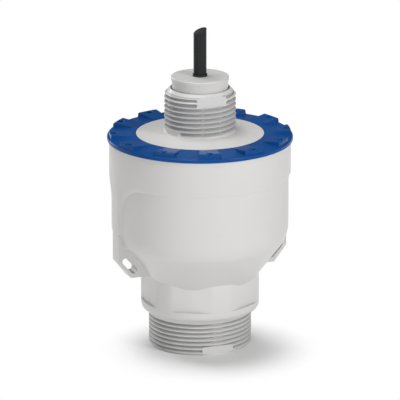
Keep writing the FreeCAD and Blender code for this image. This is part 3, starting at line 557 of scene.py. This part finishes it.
def threaded(node_name, name, thread, forms, drop=0.0):
    """A copy of a node with turned forms added or taken away and its thread cut, which stands for the node."""
    piece = merged_copy(node_name, name)
    lowered_border(piece.data, drop)
    for operation, outline in forms:
        combine(piece, operation, turned_sleeve(name + "_turned", outline))
    combine(piece, "DIFFERENCE", helix_groove(name + "_groove", thread))
    for low, high in thread["full_flats"]:
        combine(piece, "UNION", plain_block(name + "_flat", low, high))
    crease(piece.data, SHARP_FOLD)
    stand_for(piece, node_name, "housing")


def stand_for(piece, node_name, slot):
    """Give a piece its finish and let it replace a node."""
    piece.data.materials.clear()
    piece.data.materials.append(FINISHES[slot])
    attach(piece, "root")
    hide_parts(node_name)


# Lock ring


def padded_ring():
    """The blue ring with its ramped pads.

    Its top at radius r falls from the crown by fall * (r - inner) / (outer - inner). A pad rises above the crown
    by rise * (r - inner) / (reach - inner), with a quarter round of radius end at its outer end. The pad's share
    is a smooth step of the angle from its middle over the last blend of its half angle, once every pad spacing.
    """
    inner, outer, crown, fall, rise, reach, end = 29.7, 43.05, 100.9, 1.0, 1.4, 42.1, 0.7
    half_angle, blend = 7.5, 0.6
    r = np.array([29.7, 30.1, 33.0, 36.5, 39.0, 40.6, 41.4, 41.6, 41.8, 41.95, 42.05, 42.1, 42.14, 42.4, 42.65])
    plain = crown - fall * (r - inner) / (outer - inner)
    ramp = crown + rise * (r - inner) / (reach - inner)
    into = np.clip(r - (reach - end), 0.0, end)
    ramp = np.where(r > reach, plain, ramp - end + np.sqrt(end * end - into * into))
    lower_r = np.array([42.88, 43.0, 43.05, 43.05, 43.0, 42.85, 38.6, 38.6, 35.1, 35.1, 29.7])
    lower_z = np.array([99.82, 99.66, 99.45, 98.4, 98.2, 98.1, 98.1, 92.1, 92.1, 98.8, 98.8])
    side = np.array([4, 6.6, 6.9, 7.05, 7.2, 7.35, 7.5, 8.4, 11])
    step = np.concatenate([-side[::-1], [0], side, [PAD_SPACING / 2]])
    share = smooth_step((half_angle - np.abs(step)) / blend)
    turn = (np.arange(PADS)[:, None] * PAD_SPACING + FIRST_PAD + step[None, :]).reshape(-1)
    share = np.tile(share, PADS)[:, None]
    top = plain[None, :] + share * np.maximum(ramp - plain, 0.0)[None, :]
    z = np.concatenate([top, np.tile(lower_z, (len(turn), 1))], axis=1)
    radius = np.concatenate([r, lower_r])[None, :]
    t = np.radians(turn)[:, None]
    piece = lattice("padded_ring", np.stack([radius * np.cos(t), radius * np.sin(t), z], axis=-1), True)
    combine(piece, "DIFFERENCE", pin_hole_cutter())
    crease(piece.data, RING_FOLD)
    stand_for(piece, "lock_ring", "ring_blue")


def pin_hole_cutter():
    """One round pin for each pad on the pin circle, flared at the top: a corner is at middle + r (cos a, sin a)."""
    steps = 28
    work = bmesh.new()
    a = np.linspace(0.0, 2 * math.pi, steps, endpoint=False)[None, :]
    r = np.array([1.4, 1.4, 1.75, 1.75])[:, None]
    z = np.array([98.9, 101.72, 102.1, 104.0])[:, None]
    for number in range(PADS):
        middle = math.radians(FIRST_PAD + PAD_SPACING * number)
        x = PIN_CIRCLE * math.cos(middle) + r * np.cos(a)
        y = PIN_CIRCLE * math.sin(middle) + r * np.sin(a)
        pin = lattice("pin", np.stack([x, y, z + 0 * a], axis=-1), False)
        work.from_mesh(pin.data)
        bpy.data.objects.remove(pin)
    mesh = bpy.data.meshes.new("pins")
    work.to_mesh(mesh)
    work.free()
    pins = bpy.data.objects.new("pins", mesh)
    bpy.context.scene.collection.objects.link(pins)
    return pins


# Cable end


def capped_jacket():
    """The cable's jacket with its oblique end closed by a thin disc.

    The end's plane is z = height + x tan(slope), and each ring of the disc is lifted above it.
    """
    steps = 64
    piece = merged_copy("cable_jacket", "capped_jacket")
    a = np.linspace(0.0, 2 * math.pi, steps, endpoint=False)[None, :]
    r = np.array([2.93, 2.93, 2.85])[:, None]
    lift = np.array([-0.02, 0.10, 0.16])[:, None]
    x, y = r * np.cos(a), r * np.sin(a)
    z = CABLE_END + x * math.tan(math.radians(CUT_SLOPE)) + lift
    combine(piece, "UNION", lattice("end_cap", np.stack([x, y, z], axis=-1), False))
    crease(piece.data, SHARP_FOLD)
    stand_for(piece, "cable_jacket", "jacket_black")


# Studio


def white_floor():
    """A large square on which the object stands.

    Its colour turns to plain white between two distances, in metres, from the middle of the object's shadow.
    """
    half = 12.0
    shadow_middle = (-0.0014, -0.0145, 0.0)
    shadow_core, shadow_edge = 0.018, 0.054
    mesh = bpy.data.meshes.new("floor")
    mesh.from_pydata([(-half, -half, 0), (half, -half, 0), (half, half, 0), (-half, half, 0)], [], [(0, 1, 2, 3)])
    floor = bpy.data.objects.new("floor", mesh)
    bpy.context.scene.collection.objects.link(floor)
    material = bpy.data.materials.new("floor_white")
    material.use_nodes = True
    tree = material.node_tree
    shader = tree.nodes["Principled BSDF"]
    shader.inputs["Base Color"].default_value = (0.88, 0.88, 0.88, 1.0)
    shader.inputs["Roughness"].default_value = 0.9
    shader.inputs["Specular IOR Level"].default_value = 0.0
    glow = add(tree, "Emission", Color=(1.0, 1.0, 1.0, 1.0), Strength=1.0)
    place = add(tree, "TexCoord")
    reach = add(tree, "VectorMath", operation="DISTANCE")
    reach.inputs[1].default_value = shadow_middle
    fade = add(tree, "MapRange", interpolation_type="SMOOTHSTEP")
    fade.inputs["From Min"].default_value = shadow_core
    fade.inputs["From Max"].default_value = shadow_edge
    ray = add(tree, "LightPath")
    seen = add(tree, "Math", operation="MAXIMUM")
    both = add(tree, "Math", operation="MULTIPLY")
    mix = add(tree, "MixShader")
    link = tree.links.new
    link(place.outputs["Object"], reach.inputs[0])
    link(reach.outputs["Value"], fade.inputs["Value"])
    link(ray.outputs["Is Camera Ray"], seen.inputs[0])
    link(ray.outputs["Is Glossy Ray"], seen.inputs[1])
    link(fade.outputs["Result"], both.inputs[0])
    link(seen.outputs["Value"], both.inputs[1])
    link(both.outputs["Value"], mix.inputs["Fac"])
    link(shader.outputs["BSDF"], mix.inputs[1])
    link(glow.outputs["Emission"], mix.inputs[2])
    link(mix.outputs["Shader"], tree.nodes["Material Output"].inputs["Surface"])
    mesh.materials.append(material)


def room_light():
    """Weak even light from all round; the camera sees it as plain white."""
    room_strength, white_strength = 0.12, 1.0
    world = bpy.data.worlds.new("studio")
    bpy.context.scene.world = world
    world.use_nodes = True
    tree = world.node_tree
    background = tree.nodes["Background"]
    ray = add(tree, "LightPath")
    level = add(tree, "MapRange")
    level.inputs["To Min"].default_value = room_strength
    level.inputs["To Max"].default_value = white_strength
    background.inputs["Color"].default_value = (1.0, 1.0, 1.0, 1.0)
    tree.links.new(ray.outputs["Is Camera Ray"], level.inputs["Value"])
    tree.links.new(level.outputs["Result"], background.inputs["Strength"])


def outward(turn, lift):
    """The direction away from the object: turn from the front towards the right, lift above level, in degrees."""
    turn, lift = math.radians(turn), math.radians(lift)
    return Vector((math.sin(turn) * math.cos(lift), -math.cos(turn) * math.cos(lift), math.sin(lift)))


def looking_in(name, data, away, height, reach):
    """Place a lamp or a camera so that it looks at a height on the axis from a distance, both in metres."""
    holder = bpy.data.objects.new(name, data)
    bpy.context.scene.collection.objects.link(holder)
    holder.location = Vector((0.0, 0.0, height)) + away * reach
    holder.rotation_mode = "QUATERNION"
    holder.rotation_quaternion = (-away).to_track_quat("-Z", "Y")
    return holder


def soft_box(name, turn, lift, reach, breadth, height, power):
    """An area lamp that looks at the object's middle, with its reach and size in metres."""
    middle_height = 0.07
    lamp = bpy.data.lights.new(name, "AREA")
    lamp.shape = "RECTANGLE"
    lamp.size = breadth
    lamp.size_y = height
    lamp.energy = power
    looking_in(name, lamp, outward(turn, lift), middle_height, reach)


def studio():
    """A white room with four soft boxes."""
    room_light()
    white_floor()
    soft_box("key_right", 26.0, 27.0, 1.1, 0.26, 0.6, 6.0)
    soft_box("fill_front", -36.0, 16.0, 1.1, 0.26, 0.6, 3.2)
    soft_box("rim_left", -160.0, 15.0, 1.1, 0.30, 0.6, 3.2)
    soft_box("top", -140.0, 80.0, 1.0, 0.5, 0.5, 6.0)


def photo_camera():
    """The photograph's own view, from a little above level and from the left of the front."""
    turn, lift = -21.5, 16.32
    aim_height, distance = 0.0684, 2.24
    lens = bpy.data.cameras.new("photo_camera")
    lens.sensor_width = 36.0
    lens.lens = 434.07
    lens.clip_start = 0.1
    lens.clip_end = 40.0
    bpy.context.scene.camera = looking_in("photo_camera", lens, outward(turn, lift), aim_height, distance)


finish_nodes()
neck_and_rim = [("DIFFERENCE", NECK_UNDERCUT), ("UNION", CUP_RIM)]
threaded("housing_cup", "threaded_cup", PROCESS_THREAD, neck_and_rim, PANEL_BORDER_DROP)
threaded("housing_lid", "threaded_lid", CONDUIT_THREAD, [("UNION", TUBE_FOOT)])
padded_ring()
capped_jacket()
studio()
photo_camera()
bpy.context.scene.view_settings.view_transform = "Standard"
